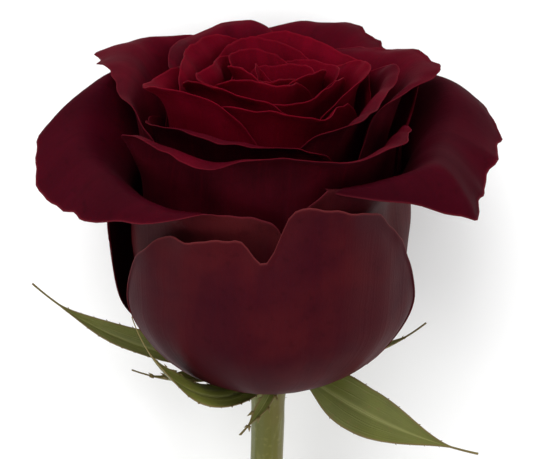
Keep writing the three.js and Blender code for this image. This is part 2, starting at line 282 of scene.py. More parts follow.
@dataclass(frozen=True)
class Bloom:
    """The petals, in a golden-angle spiral from the outside in, and their details."""

    resting: Resting
    count: int = 29
    height: float = 56.5
    belly_height: float = 27.0
    claw_climb: float = 6.0
    claw_half_width: float = 2.2
    claw_limit: float = 36.0
    outer_wrap: float = 84.0
    inner_wrap: float = 100.0
    outer_claw_radius: float = 5.6
    inner_claw_radius: float = 1.1
    thickness: float = 0.3
    rim_thickness: float = 0.12
    lip: float = 0.35
    crinkle: float = 0.22
    pleat: float = 0.07
    lip_depth: float = 4.0
    crinkle_depth: float = 9.0
    claw_dip: float = 2.8
    sweep_level: float = 6.2
    swell_level: float = 15.0
    ragged: float = 0.005
    inner_ragged: float = 0.0018
    ragged_petals: int = 9
    outer_grid: tuple[int, int] = (97, 89)
    heart_grid: tuple[int, int] = (57, 57)
    swirl: Swirl = field(default_factory=Swirl)

    def outer(self) -> list[Petal]:
        """The ten outer petals, each with a shape of its own."""
        return [
            Petal(0, azimuth=273, belly=26.8, height=41.7, flare=0.2, width=34, corner=0.68, wave=0.3,
                  droop=-1.2, peak=-0.06, slant=0.055, notch=0.12, side=0, drift=0.3),
            Petal(1, azimuth=134, belly=27.4, height=45.0, flare=14, width=28, corner=0.3, wave=0.8,
                  droop=2, side=0.1),
            Petal(2, azimuth=352, belly=24.3, height=49.4, flare=14.5, width=31, corner=0.12, wave=0.5,
                  droop=3.2, peak=0.02, hold=0.5, spread=0.92, side=0.05, lean=1.6, sag=6, tip=0.02),
            Petal(3, azimuth=202, belly=23.6, height=48, flare=15, width=29, corner=0.2, wave=0.6,
                  droop=4.5, peak=-0.04, hold=0.3, spread=0.8, side=0.15, lean=-5.5, tip=0.03),
            Petal(4, azimuth=65, belly=22.2, height=54, flare=11, width=26, corner=0.18, wave=0.6,
                  side=0.65),
            Petal(5, azimuth=275, belly=21.6, height=52.5, flare=5, width=31, corner=0.12, wave=0.4,
                  droop=-1.5, side=1.9),
            Petal(6, azimuth=156, belly=20.5, height=55.9, flare=11.5, width=26, corner=0.34, wave=0.5,
                  droop=1, peak=-0.1, hold=0.1, side=0.3, tip=0.02),
            Petal(7, azimuth=23, belly=19.8, height=55.1, flare=9.5, width=25, corner=0.24, wave=0.5,
                  droop=-1, peak=-0.1, side=0.15),
            Petal(8, azimuth=243, belly=18.5, height=53.5, flare=5, width=24, corner=0.2, wave=0.5,
                  droop=-1.5, side=0.5),
            Petal(9, azimuth=116, belly=17.7, height=55.6, flare=6, width=22, corner=0.26, wave=0.7,
                  droop=-1),
        ]

    def petals(self) -> list[Petal]:
        """Every petal: the outer ones, then those that follow the spiral's rule."""
        outer = self.outer()
        petals = list(outer)
        for index in range(len(outer), self.count):
            inward = (index - len(outer)) / (self.count - 1 - len(outer))
            height = self.height - 1.5 * float(smoothstep(inward, 0.75, 1)) + 1.2 * math.sin(2.4 * index)
            petals.append(
                Petal(
                    index,
                    azimuth=outer[0].azimuth - GOLDEN_ANGLE * index,
                    belly=lerp(16.8, 2.5, inward),
                    height=height,
                    flare=lerp(5.5, 0.6, math.sqrt(inward)),
                    width=lerp(21, 9, inward),
                    corner=0.3,
                    wave=lerp(0.5, 0.2, inward),
                    droop=-2,
                    side=0.6,
                    lean=0.5 * math.sin(1.9 * index),
                    drift=-0.12,
                )
            )
        return petals

    def profile(self, petal: Petal, depth: float, u: float) -> np.ndarray:
        """The line that a petal follows from its claw to its rim.

        Args:
            petal: The petal.
            depth: 1 for the outermost petal and 0 for the innermost.
            u: Where across the petal, from -1 to 1.

        Returns:
            The line's samples as [radius, level].
        """
        fall = float(smoothstep(abs(u - petal.peak), petal.hold, petal.spread))
        flare = petal.flare * lerp(1, petal.side, fall)
        droop = petal.droop * (1 - fall if petal.droop > 0 else 1)
        lean = math.sin(math.pi * u)
        sag = petal.sag * max(0.0, -lean)
        height = petal.height + petal.lean * lean
        belly = petal.belly + petal.drift * u
        claw = lerp(self.inner_claw_radius, self.outer_claw_radius, depth)
        dip = self.claw_dip * depth**2
        reach = belly - claw
        widest = lerp(0.7 * petal.height, self.belly_height, depth)
        shoulder = height - widest
        low = lerp(CLAW_HEIGHT + 1.6 * self.claw_climb, CLAW_HEIGHT - dip, depth**0.7)
        knots = [
            [claw, CLAW_HEIGHT + self.claw_climb * (1 - depth)],
            [claw + 0.22 * reach, low],
            [claw + 0.62 * reach, lerp(0.38 * height, self.sweep_level, depth**0.8)],
            [claw + 0.92 * reach, lerp(0.55 * height, self.swell_level, depth)],
            [belly, widest],
            [belly + 0.03 * flare, widest + 0.68 * shoulder],
            [belly + 0.5 * flare, widest + shoulder],
            [belly + flare, height - droop - sag],
        ]
        return spline(np.array(knots))

    def rim_reach(self, petal: Petal, u: float) -> float:
        """How much of its line's length the petal has at u."""
        rounded = 1 - petal.corner * (1 - math.sqrt(max(0.0, 1 - abs(u) ** 2.6)))
        feature = math.exp(-(((u - petal.peak) / NOTCH_WIDTH) ** 2))
        step = petal.slant * (1 - u * u) ** 3 * math.tanh((u - petal.peak) / (0.7 * NOTCH_WIDTH))
        phase = 1.9 * petal.index
        waves = ((1.0, 17, phase), (0.8, 29, 2 * phase), (0.5, 53, -phase))
        uneven = sum(share * math.sin(pitch * u + shift) for share, pitch, shift in waves)
        depth = self.ragged if petal.index < self.ragged_petals else self.inner_ragged
        return rounded + step + (petal.tip - petal.notch) * feature + depth * uneven

    def middle_surface(self, petal: Petal, us: np.ndarray, vs: np.ndarray) -> np.ndarray:
        """The petal's middle surface, with its lip, crinkles and pleats.

        Args:
            petal: The petal.
            us: Where across it, from -1 to 1.
            vs: Where along it, from its claw at 0 to its rim at 1.

        Returns:
            Points in the rose's own frame, of shape (len(vs), len(us), 3).
        """
        depth = 1 - petal.index / (self.count - 1)
        wrap = lerp(self.inner_wrap, self.outer_wrap, depth)
        grid = np.zeros((len(vs), len(us), 3))
        for column, u in enumerate(us):
            reach = vs * self.rim_reach(petal, float(u))
            s = np.minimum(1, reach)
            line, heading, length = along(self.profile(petal, depth, float(u)), reach)
            ripple = petal.wave * smoothstep(s, 0.45, 1) * math.sin(5.2 * u + 1.7 * petal.index)
            radius = line[:, 0] + 0.5 * ripple
            level = line[:, 1] + ripple
            offset = self.detail(petal, float(u), vs, length)
            radius = radius + offset * heading[:, 1]
            level = level - offset * heading[:, 0]
            half = lerp(self.claw_half_width, petal.width, smoothstep(s, 0, 0.58))
            limit = np.radians(lerp(self.claw_limit, wrap, smoothstep(s, 0.1, 0.6)))
            angle = math.radians(petal.azimuth) + u * np.minimum(limit, half / radius)
            grid[:, column] = np.stack([radius * np.cos(angle), radius * np.sin(angle), level], axis=-1)
        return self.resting.press(self.swirl.apply(grid), petal.index)

    def detail(self, petal: Petal, u: float, vs: np.ndarray, length: float) -> np.ndarray:
        """How far out of its smooth line a petal stands: its rolled lip, crinkled rim and fine pleats."""
        to_rim = (1 - vs) * length
        room = lerp(0.35, 1.0, smoothstep(self.count - petal.index, 2, 18))
        lip = self.lip * room * smoothstep(-to_rim, -self.lip_depth, 0.0) ** 2
        edge = smoothstep(-to_rim, -self.crinkle_depth, 0.0)
        phase = 2.3 * petal.index
        crinkle = np.sin(9.1 * u + phase) + 0.6 * np.sin(17.3 * u + 1.7 * phase + 2.0 * vs)
        crinkle = crinkle + 0.35 * np.sin(31.0 * u - phase + 5.0 * vs)
        pleat = math.sin(24.0 * u + phase) * smoothstep(vs, 0.1, 0.5)
        return lip + room * self.crinkle * edge * crinkle + room * self.pleat * pleat

    def build(self, finishes: dict[Zone, Material]) -> None:
        """Makes every petal and dresses it.

        Args:
            finishes: The material for each zone of the bloom.
        """
        for petal in self.petals():
            columns, rows = self.heart_grid if petal.zone is Zone.HEART else self.outer_grid
            us = np.sin(np.linspace(-math.pi / 2, math.pi / 2, columns))
            vs = 1 - (1 - np.linspace(0, 1, rows)) ** 1.25
            middle = self.middle_surface(petal, us, vs)
            leaf = Leaf(middle, us, vs, self.thickness, self.rim_thickness, self.resting, petal.index)
            piece = leaf.build(f"velvet_{petal.node}", finishes[petal.zone])
            adopt(piece, petal.node)


@dataclass(frozen=True)
class Leaf:
    """A thin closed blade either side of a middle surface, with its coordinates and edge marked."""

    middle: np.ndarray
    us: np.ndarray
    vs: np.ndarray
    thickness: float
    edge_thickness: float
    resting: Resting
    layer: int
    taper: float = 2.5

    def edge_distance(self) -> np.ndarray:
        """Each point's distance, in millimetres, to the nearest of the blade's two sides and its rim."""
        across = np.linalg.norm(np.diff(self.middle, axis=1), axis=2)
        left = np.concatenate([np.zeros((len(self.vs), 1)), np.cumsum(across, axis=1)], axis=1)
        right = left[:, -1:] - left
        upward = np.linalg.norm(np.diff(self.middle, axis=0), axis=2)
        run = np.concatenate([np.zeros((1, len(self.us))), np.cumsum(upward, axis=0)], axis=0)
        rim = run[-1:] - run
        return np.minimum(np.minimum(left, right), rim)

    def build(self, name: str, material: Material) -> Object:
        """Makes the blade as a mesh object in the part's frame.

        Args:
            name: The object's name.
            material: Its material.

        Returns:
            The object, with a UV map named blade and point attributes inner, edge and layer.
        """
        rows, columns = self.middle.shape[:2]
        across = np.gradient(self.middle, axis=1)
        upward = np.gradient(self.middle, axis=0)
        normal = unit(np.cross(across, upward))
        distance = self.edge_distance()
        inward = smoothstep(distance, 0.0, self.taper)[..., None]
        half = 0.5 * lerp(self.edge_thickness, self.thickness, inward)
        skins = np.concatenate([(self.middle + half * normal).reshape(-1, 3),
                                (self.middle - half * normal).reshape(-1, 3)])
        count = rows * columns
        index = np.arange(count).reshape(rows, columns)
        a, b, c, d = index[:-1, :-1], index[:-1, 1:], index[1:, 1:], index[1:, :-1]
        outer = np.stack([a, b, c, d], axis=-1).reshape(-1, 4)
        inner = np.stack([a, d, c, b], axis=-1).reshape(-1, 4) + count
        loop = np.concatenate([index[0, :-1], index[:-1, -1], index[-1, :0:-1], index[:0:-1, 0]])
        after = np.roll(loop, -1)
        seam = np.stack([loop, loop + count, after + count, after], axis=-1)
        faces = np.concatenate([outer, inner, seam])
        mesh = bpy.data.meshes.new(name)
        mesh.from_pydata(self.resting.place(skins).tolist(), [], faces.tolist())
        mesh.materials.append(material)
        mesh.shade_smooth()
        u_grid, v_grid = np.meshgrid(0.5 + 0.5 * self.us, self.vs)
        uv = np.stack([u_grid, v_grid], axis=-1).reshape(-1, 2)
        layer = mesh.uv_layers.new(name="blade")
        corners = np.zeros(len(mesh.loops), dtype=np.int32)
        mesh.loops.foreach_get("vertex_index", corners)
        layer.data.foreach_set("uv", uv[corners % count].ravel())
        point_attribute(mesh, "inner", np.repeat([0.0, 1.0], count))
        point_attribute(mesh, "edge", np.tile(distance.ravel(), 2))
        point_attribute(mesh, "layer", np.full(2 * count, float(self.layer)))
        return show(mesh, name)


def point_attribute(mesh: Mesh, name: str, values: np.ndarray) -> None:
    """Stores one number at each point of a mesh."""
    mesh.attributes.new(name, "FLOAT", "POINT").data.foreach_set("value", values.astype(np.float32))


def show(mesh: Mesh, name: str) -> Object:
    """Puts a mesh into the scene as an object at the origin."""
    piece = bpy.data.objects.new(name, mesh)
    bpy.context.scene.collection.objects.link(piece)
    return piece


def adopt(piece: Object, node: str) -> None:
    """Makes a finished piece stand for a node of the frame and logs it.

    Args:
        piece: The finished piece.
        node: The node that it replaces.
    """
    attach(piece, "root")
    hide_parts(node)
    log.info("%s stands for %s, %d faces", piece.name, node, len(piece.data.polygons))


# ---------------------------------------------------------------------------------------------------------
# Calyx and stem


@dataclass(frozen=True)
class Sepal:
    """One sepal or bract, in the terms that the part's source uses."""

    node: str
    azimuth: float
    turn: float
    length: float
    width: float
    rise: float
    lift: float
    cup: float
    twist: float = 0.0
    teeth: float = 0.5
    hip_radius: float = 5.7
    strides: int = 40
    rib_depth: float = 0.22
    rib_width: float = 0.55
    tip_half_width: float = 0.18

    def middle_surface(self, us: np.ndarray, vs: np.ndarray) -> np.ndarray:
        """The sepal's middle surface, with its midrib and gently waved margins.

        Args:
            us: Where across it, from -1 to 1.
            vs: Where along it, from the hip at 0 to its tip at 1.

        Returns:
            Points in the rose's own frame, of shape (len(vs), len(us), 3).
        """
        slope = np.radians(self.rise + self.lift * np.linspace(0, 1, self.strides + 1)[:-1])
        stride = self.length / self.strides
        radial = self.hip_radius + 0.4 + np.concatenate([[0], np.cumsum(np.cos(slope)) * stride])
        level = 0.7 + np.concatenate([[0], np.cumsum(np.sin(slope)) * stride])
        spine, heading, _ = along(np.stack([radial, level], axis=-1), vs)
        blade = lerp(0.72, 1, smoothstep(vs, 0, 0.35)) * (1 - smoothstep(vs, 0.4, 0.9))
        half = np.maximum(self.tip_half_width, self.width * (0.85 * blade + 0.15 * (1 - vs)))[:, None]
        u = us[None, :]
        margin = 0.16 * half * np.abs(u) ** 3 * np.sin(13 * vs[:, None] + 2.1 * u + self.azimuth)
        rib = np.exp(-((u * half / self.rib_width) ** 2)) * (1 - smoothstep(vs, 0.6, 1))[:, None]
        fold = self.cup * half * u * u + margin - self.rib_depth * rib
        roll = (math.radians(self.twist) * smoothstep(vs, 0, 0.4))[:, None]
        side = u * half * np.cos(roll) - fold * np.sin(roll)
        up = u * half * np.sin(roll) + fold * np.cos(roll)
        angle = np.radians(self.azimuth + self.turn * vs)[:, None]
        radius = spine[:, :1] - up * heading[:, 1:]
        height = spine[:, 1:] + up * heading[:, :1]
        return np.stack([radius * np.cos(angle) - side * np.sin(angle),
                         radius * np.sin(angle) + side * np.cos(angle), height], axis=-1)


@dataclass(frozen=True)
class Calyx:
    """The sepals under the bloom, with the small teeth along their margins."""

    resting: Resting
    thickness: float = 0.42
    edge_thickness: float = 0.16
    tooth_length: float = 1.5
    tooth_spacing: float = 2.4
    columns: int = 25
    rows: int = 97
    toothed_rows: tuple[int, int] = (6, 78)

    def sepals(self) -> list[Sepal]:
        """The five sepals and the bract."""
        return [
            Sepal("sepal_left", azimuth=170, turn=-4, length=41, width=3.3, rise=-6, lift=44, cup=0.4,
                  twist=-20, teeth=0.35),
            Sepal("sepal_front_left", azimuth=247, turn=-25, length=36, width=3.6, rise=-2, lift=88,
                  cup=0.1, twist=-28, teeth=0.5),
            Sepal("sepal_front", azimuth=280, turn=-36, length=10.5, width=1.3, rise=-34, lift=-50, cup=0.4,
                  teeth=1.0),
            Sepal("sepal_right", azimuth=336, turn=4, length=35.5, width=4.6, rise=-30, lift=26, cup=0.3,
                  twist=48, teeth=0.3),
            Sepal("sepal_back", azimuth=20, turn=6, length=27.5, width=2.2, rise=-20, lift=42, cup=0.4),
            Sepal("bract_left", azimuth=205, turn=-6, length=20, width=1.9, rise=-6, lift=34, cup=0.4,
                  teeth=1.0),
        ]

    def build(self, leaf: Material) -> None:
        """Makes every sepal and dresses it.

        Args:
            leaf: The sepals' material.
        """
        for number, sepal in enumerate(self.sepals()):
            us = np.linspace(-1, 1, self.columns)
            vs = np.linspace(0, 1, self.rows)
            middle = sepal.middle_surface(us, vs)
            blade = Leaf(middle, us, vs, self.thickness, self.edge_thickness, self.resting, number)
            piece = blade.build(f"leafy_{sepal.node}", leaf)
            self.add_teeth(piece, sepal, middle, leaf, number)
            adopt(piece, sepal.node)

    def add_teeth(self, piece: Object, sepal: Sepal, middle: np.ndarray,
                  leaf: Material, seed: int) -> None:
        """Grows the small teeth along both margins and joins them to the sepal's mesh.

        Args:
            piece: The sepal.
            sepal: Its sizes.
            middle: Its middle surface.
            leaf: The material of the teeth.
            seed: Keeps each sepal's teeth unlike the others'.
        """
        span = slice(*self.toothed_rows)
        tree = margin_teeth_tree()
        for side in (0, -1):
            margin = self.resting.place(middle[span, side])
            lean = margin - self.resting.place(middle[span, self.columns // 2])
            mesh = bpy.data.meshes.new("margin")
            edges = [(i, i + 1) for i in range(len(margin) - 1)]
            mesh.from_pydata(margin.tolist(), edges, [])
            outward = mesh.attributes.new("outward", "FLOAT_VECTOR", "POINT")
            outward.data.foreach_set("vector", unit(lean).astype(np.float32).ravel())
            holder = show(mesh, "margin")
            teeth = grown(holder, tree, {
                "Spacing": self.tooth_spacing * MILLIMETRE,
                "Length": self.tooth_length * sepal.teeth * MILLIMETRE,
                "Seed": 2 * seed + abs(side),
                "Material": leaf,
            })
            join_mesh(piece, teeth)


def margin_teeth_tree() -> NodeTree:
    """Builds, once, the tree that sets pointed teeth along a margin.

    Returns:
        A Geometry Nodes tree with inputs Spacing, Length, Seed and Material. Each point of its line carries
        an attribute named outward, the way that a tooth there points.
    """
    name = "margin teeth"
    if name in bpy.data.node_groups:
        return bpy.data.node_groups[name]
    tree, wire, given = begin_tree(
        name, "GeometryNodeTree",
        {"Geometry": ("Geometry", None), "Spacing": ("Float", 0.002), "Length": ("Float", 0.001),
         "Seed": ("Int", 0), "Material": ("Material", None)},
        {"Geometry": "Geometry"},
    )
    curve = wire.add("GeometryNodeMeshToCurve", {"Mesh": given["Geometry"]})
    points = wire.add("GeometryNodeResampleCurve", {"Curve": curve.outputs[0], "Length": given["Spacing"]},
                      mode="LENGTH")
    outward = wire.add("GeometryNodeInputNamedAttribute", {"Name": "outward"}, data_type="FLOAT_VECTOR")
    tangent = wire.add("GeometryNodeInputTangent")
    lean = wire.add("ShaderNodeVectorMath", {0: tangent.outputs[0], "Scale": 1.1}, operation="SCALE")
    forward = wire.add("ShaderNodeVectorMath", {0: outward.outputs[0], 1: lean.outputs[0]}, operation="ADD")
    turn = wire.add("FunctionNodeAlignRotationToVector", {"Vector": forward.outputs[0]}, axis="Z")
    cone = {"Vertices": 6, "Side Segments": 3, "Radius Top": 0.0, "Radius Bottom": 0.3}
    set_spikes(wire, given, points.outputs[0], turn.outputs[0], cone, smallest=0.45)
    return tree


@dataclass(frozen=True)
class Stem:
    """The cut stem and the hip at its top, which grow as one."""

    radius: float = 3.1
    cut_radius: float = 3.4
    cut_slope: float = 0.55
    hip_radius: float = 5.7
    bow: float = 3.2
    sides: int = 96
    face_rings: int = 12
    side_samples: int = 18
    bristle: float = 0.55
    bristle_density: float = 9e4
    bristle_band: tuple[float, float] = (-9.0, 2.5)
    bristle_seed: int = 7

    def outline(self) -> list[list[float]]:
        """The stem's outline as [radius, level], from its cut to the top of the hip."""
        top = CLAW_HEIGHT - 1.1
        return [
            [0, -STEM_LENGTH],
            [self.cut_radius * 0.82, -STEM_LENGTH],
            [self.cut_radius, -STEM_LENGTH + 1],
            [lerp(self.radius, self.cut_radius, 0.6), -0.66 * STEM_LENGTH],
            [lerp(self.radius, self.cut_radius, 0.3), -0.33 * STEM_LENGTH],
            [self.radius, -12],
            [self.radius + 0.15, -6],
            [self.radius + 0.9, -2.6],
            [self.hip_radius - 0.7, 0],
            [self.hip_radius, 2],
            [self.hip_radius - 0.5, top],
            [1.2, top + 0.8],
            [0, top + 0.8],
        ]

    def build(self, resting: Resting, bark: Material, cut: Material) -> None:
        """Makes the stem and dresses it.

        Args:
            resting: How the rose lies.
            bark: The material of its skin.
            cut: The material of its cut end.
        """
        corners = np.array(self.outline(), dtype=float)
        rings = np.linspace(0.02, 1, self.face_rings) * corners[1, 0]
        face = np.stack([rings, np.full(self.face_rings, -STEM_LENGTH)], axis=-1)
        side = spline(corners[2:-2], self.side_samples)
        crown = np.array([[4.2, corners[-2, 1] - 0.3], corners[-2], [0.05, corners[-1, 1]]])
        line = np.concatenate([face, side, crown])
        angle = np.linspace(0, 2 * math.pi, self.sides, endpoint=False)
        radius, level = line[:, :1], line[:, 1:]
        skin = smoothstep(line[:, :1], 2.0, 3.0)
        ridge = 0.035 * np.sin(7 * angle + 0.02 * level) + 0.03 * np.sin(13 * angle - 0.05 * level)
        knot = 0.05 * np.sin(0.23 * level + 1.3) * np.sin(angle + 0.04 * level)
        radius = radius + skin * (ridge + knot - 0.06)
        share = smoothstep(-level, 0, STEM_LENGTH)
        slanted = smoothstep(-level, STEM_LENGTH - 2, STEM_LENGTH)
        x, y = radius * np.cos(angle), radius * np.sin(angle)
        p = np.stack([x - self.bow * share, y, level + slanted * self.cut_slope * x], axis=-1)
        mesh = bpy.data.meshes.new("green_stem")
        rows = len(line)
        index = np.arange(rows * self.sides).reshape(rows, self.sides)
        after = np.roll(index, -1, axis=1)
        faces = np.stack([index[:-1], after[:-1], after[1:], index[1:]], axis=-1).reshape(-1, 4).tolist()
        faces += [index[0, ::-1].tolist(), index[-1].tolist()]
        mesh.from_pydata(resting.place(p.reshape(-1, 3)).tolist(), [], faces)
        mesh.materials.append(bark)
        mesh.materials.append(cut)
        slots = np.zeros(len(mesh.polygons), dtype=np.int32)
        slots[: (len(face) - 1) * self.sides] = 1
        slots[-2] = 1
        mesh.polygons.foreach_set("material_index", slots)
        mesh.shade_smooth()
        around = np.repeat(angle[None, :] / (2 * math.pi), rows, axis=0)
        point_attribute(mesh, "around", around.ravel())
        point_attribute(mesh, "level", np.repeat(level, self.sides, axis=1).ravel())
        section = np.repeat(np.clip(line[:, :1] / self.cut_radius, 0, 1), self.sides, axis=1)
        point_attribute(mesh, "section", section.ravel())
        piece = show(mesh, "green_stem")
        self.add_bristles(piece, bark)
        adopt(piece, "stem")

    def add_bristles(self, piece: Object, bark: Material) -> None:
        """Scatters the fine gland-tipped bristles over the hip and joins them to the stem.

        Args:
            piece: The stem.
            bark: The bristles' material.
        """
        copy = show(piece.data.copy(), "bristled")
        hairs = grown(copy, bristle_tree(), {
            "Density": self.bristle_density,
            "Length": self.bristle * MILLIMETRE,
            "From": self.bristle_band[0],
            "To": self.bristle_band[1],
            "Seed": self.bristle_seed,
            "Material": bark,
        })
        join_mesh(piece, hairs)


def bristle_tree() -> NodeTree:
    """Builds the tree that scatters short bristles over a band of a surface.

    Returns:
        A Geometry Nodes tree with inputs Density, Length, From, To, Seed and Material. The surface carries a
        point attribute named level, and bristles grow where it lies between From and To.
    """
    tree, wire, given = begin_tree(
        "bristles", "GeometryNodeTree",
        {"Geometry": ("Geometry", None), "Density": ("Float", 1e4), "Length": ("Float", 0.0005),
         "From": ("Float", 0.0), "To": ("Float", 1.0), "Seed": ("Int", 0), "Material": ("Material", None)},
        {"Geometry": "Geometry"},
    )
    level = wire.add("GeometryNodeInputNamedAttribute", {"Name": "level"}, data_type="FLOAT").outputs[0]
    above = wire.math("GREATER_THAN", level, given["From"])
    below = wire.math("LESS_THAN", level, given["To"])
    spread = wire.add("GeometryNodeDistributePointsOnFaces", {
        "Mesh": given["Geometry"], "Density": wire.times(wire.times(above, below), given["Density"]),
        "Seed": given["Seed"],
    })
    cone = {"Vertices": 5, "Side Segments": 2, "Radius Top": 0.03, "Radius Bottom": 0.09}
    set_spikes(wire, given, spread.outputs["Points"], spread.outputs["Rotation"], cone, smallest=0.4)
    return tree


def set_spikes(wire: Wiring, given: NodeOutputs, points: NodeSocket,
               rotation: NodeSocket, cone: dict[str, float], smallest: float) -> None:
    """Ends a tree with cones of random size on its points, as real meshes with their material.

    Args:
        wire: The tree's wiring.
        given: The tree's inputs, with Seed, Length and Material among them.
        points: Where the cones stand.
        rotation: How each is turned.
        cone: The cone's sizes, as shares of its height.
        smallest: The smallest cone's height, as a share of Length.
    """
    shape = wire.add("GeometryNodeMeshCone", {**cone, "Depth": 1.0})
    size = wire.add("FunctionNodeRandomValue", {2: smallest, 3: 1.0, "Seed": given["Seed"]})
    place = wire.add("GeometryNodeInstanceOnPoints", {
        "Points": points, "Instance": shape.outputs[0], "Rotation": rotation,
        "Scale": wire.times(size.outputs[1], given["Length"]),
    })
    real = wire.add("GeometryNodeRealizeInstances", {"Geometry": place.outputs[0]})
    done = wire.add("GeometryNodeSetMaterial", {"Geometry": real.outputs[0], "Material": given["Material"]})
    wire.add("NodeGroupOutput", {"Geometry": done.outputs[0]})


def grown(holder: Object, tree: NodeTree, inputs: dict[str, object]) -> Mesh:
    """Runs a Geometry Nodes tree on an object and keeps only the mesh that it makes.

    Args:
        holder: The object that the tree starts from. It is removed.
        tree: The tree.
        inputs: Values by the name of the tree's input.

    Returns:
        The plain mesh.
    """
    modifier = holder.modifiers.new("grow", "NODES")
    modifier.node_group = tree
    for item in tree.interface.items_tree:
        if item.item_type == "SOCKET" and item.in_out == "INPUT" and item.name in inputs:
            modifier[item.identifier] = inputs[item.name]
    bpy.context.view_layer.update()
    evaluated = holder.evaluated_get(bpy.context.evaluated_depsgraph_get())
    mesh = bpy.data.meshes.new_from_object(evaluated)
    bpy.data.objects.remove(holder)
    return mesh


def join_mesh(piece: Object, extra: Mesh) -> None:
    """Joins a mesh onto a piece, which keeps its own name and first material.

    Args:
        piece: The piece.
        extra: The mesh to add, in the same frame.
    """
    helper = show(extra, "extra")
    extra.shade_smooth()
    with bpy.context.temp_override(active_object=piece, selected_editable_objects=[piece, helper]):
        bpy.ops.object.join()


# ---------------------------------------------------------------------------------------------------------
# Node trees


class Wiring:
    """Adds nodes to one tree and links them as it goes."""

    def __init__(self, tree: NodeTree) -> None:
        """Starts on an empty stretch of the tree."""
        self.tree = tree
        self.count = 0

    def add(self, kind: str, inputs: dict[str | int, object] | None = None,
            **properties: object) -> Node:
        """Adds one node.

        Args:
            kind: The node's type.
            inputs: Values or sockets for its inputs, by name or number.
            properties: The node's own settings.

        Returns:
            The node.
        """
        node = self.tree.nodes.new(kind)
        node.location = (200 * (self.count // 4), -220 * (self.count % 4))
        self.count += 1
        for name, value in properties.items():
            setattr(node, name, value)
        self.feed(node, inputs or {})
        return node

    def feed(self, node: Node, inputs: dict[str | int, object]) -> None:
        """Links each socket, or sets each value, to the node's input of that name or number."""
        for name, value in inputs.items():
            if isinstance(value, NodeSocket):
                self.tree.links.new(value, node.inputs[name])
            else:
                node.inputs[name].default_value = value

    def math(self, operation: str, a: object, b: object = 0.0, clamp: bool = False) -> NodeSocket:
        """The result of one sum on two numbers or sockets."""
        return self.add("ShaderNodeMath", {0: a, 1: b}, operation=operation, use_clamp=clamp).outputs[0]

    def times(self, a: object, b: object) -> NodeSocket:
        """The product of two numbers or sockets."""
        return self.math("MULTIPLY", a, b)

    def plus(self, a: object, b: object, clamp: bool = False) -> NodeSocket:
        """The sum of two numbers or sockets."""
        return self.math("ADD", a, b, clamp)

    def total(self, a: object, share_a: float, b: object, share_b: float) -> NodeSocket:
        """The sum of two sockets, each times its own share."""
        return self.plus(self.times(a, share_a), self.times(b, share_b))

    def step(self, value: object, low: float, high: float, start: float = 0.0,
             end: float = 1.0) -> NodeSocket:
        """An even rise from start, up to low, to end, from high on."""
        limits = {"Value": value, "From Min": low, "From Max": high, "To Min": start, "To Max": end}
        return self.add("ShaderNodeMapRange", limits, interpolation_type="SMOOTHSTEP").outputs[0]

    def blend(self, share: object, a: object, b: object) -> NodeSocket:
        """The colour a share of the way from a to b."""
        return self.add("ShaderNodeMix", {0: share, 6: a, 7: b}, data_type="RGBA").outputs[2]

    def noise(self, vector: object, scale: object, detail: float = 3.0,
              distortion: float = 0.0) -> NodeSocket:
        """Cloudy noise from 0 to 1."""
        inputs = {"Vector": vector, "Scale": scale, "Detail": detail, "Distortion": distortion}
        return self.add("ShaderNodeTexNoise", inputs).outputs["Fac"]


def begin_tree(
    name: str, kind: str, inputs: dict[str, tuple[str, object]], outputs: dict[str, str]
) -> tuple[NodeTree, Wiring, NodeOutputs]:
    """Starts a node group with named inputs and outputs.

    Args:
        name: The group's name.
        kind: The type of tree.
        inputs: Each input's kind of socket and its default, or None, by name.
        outputs: Each output's kind of socket, by name.

    Returns:
        The tree, its wiring and what its inputs give.
    """
    tree = bpy.data.node_groups.new(name, kind)
    for label, (sort, default) in inputs.items():
        made = tree.interface.new_socket(label, in_out="INPUT", socket_type=f"NodeSocket{sort}")
        if default is not None:
            made.default_value = default
    for label, sort in outputs.items():
        tree.interface.new_socket(label, in_out="OUTPUT", socket_type=f"NodeSocket{sort}")
    wire = Wiring(tree)
    return tree, wire, wire.add("NodeGroupInput").outputs


def colour(red: float, green: float, blue: float) -> tuple[float, float, float, float]:
    """An opaque colour."""
    return (red, green, blue, 1.0)


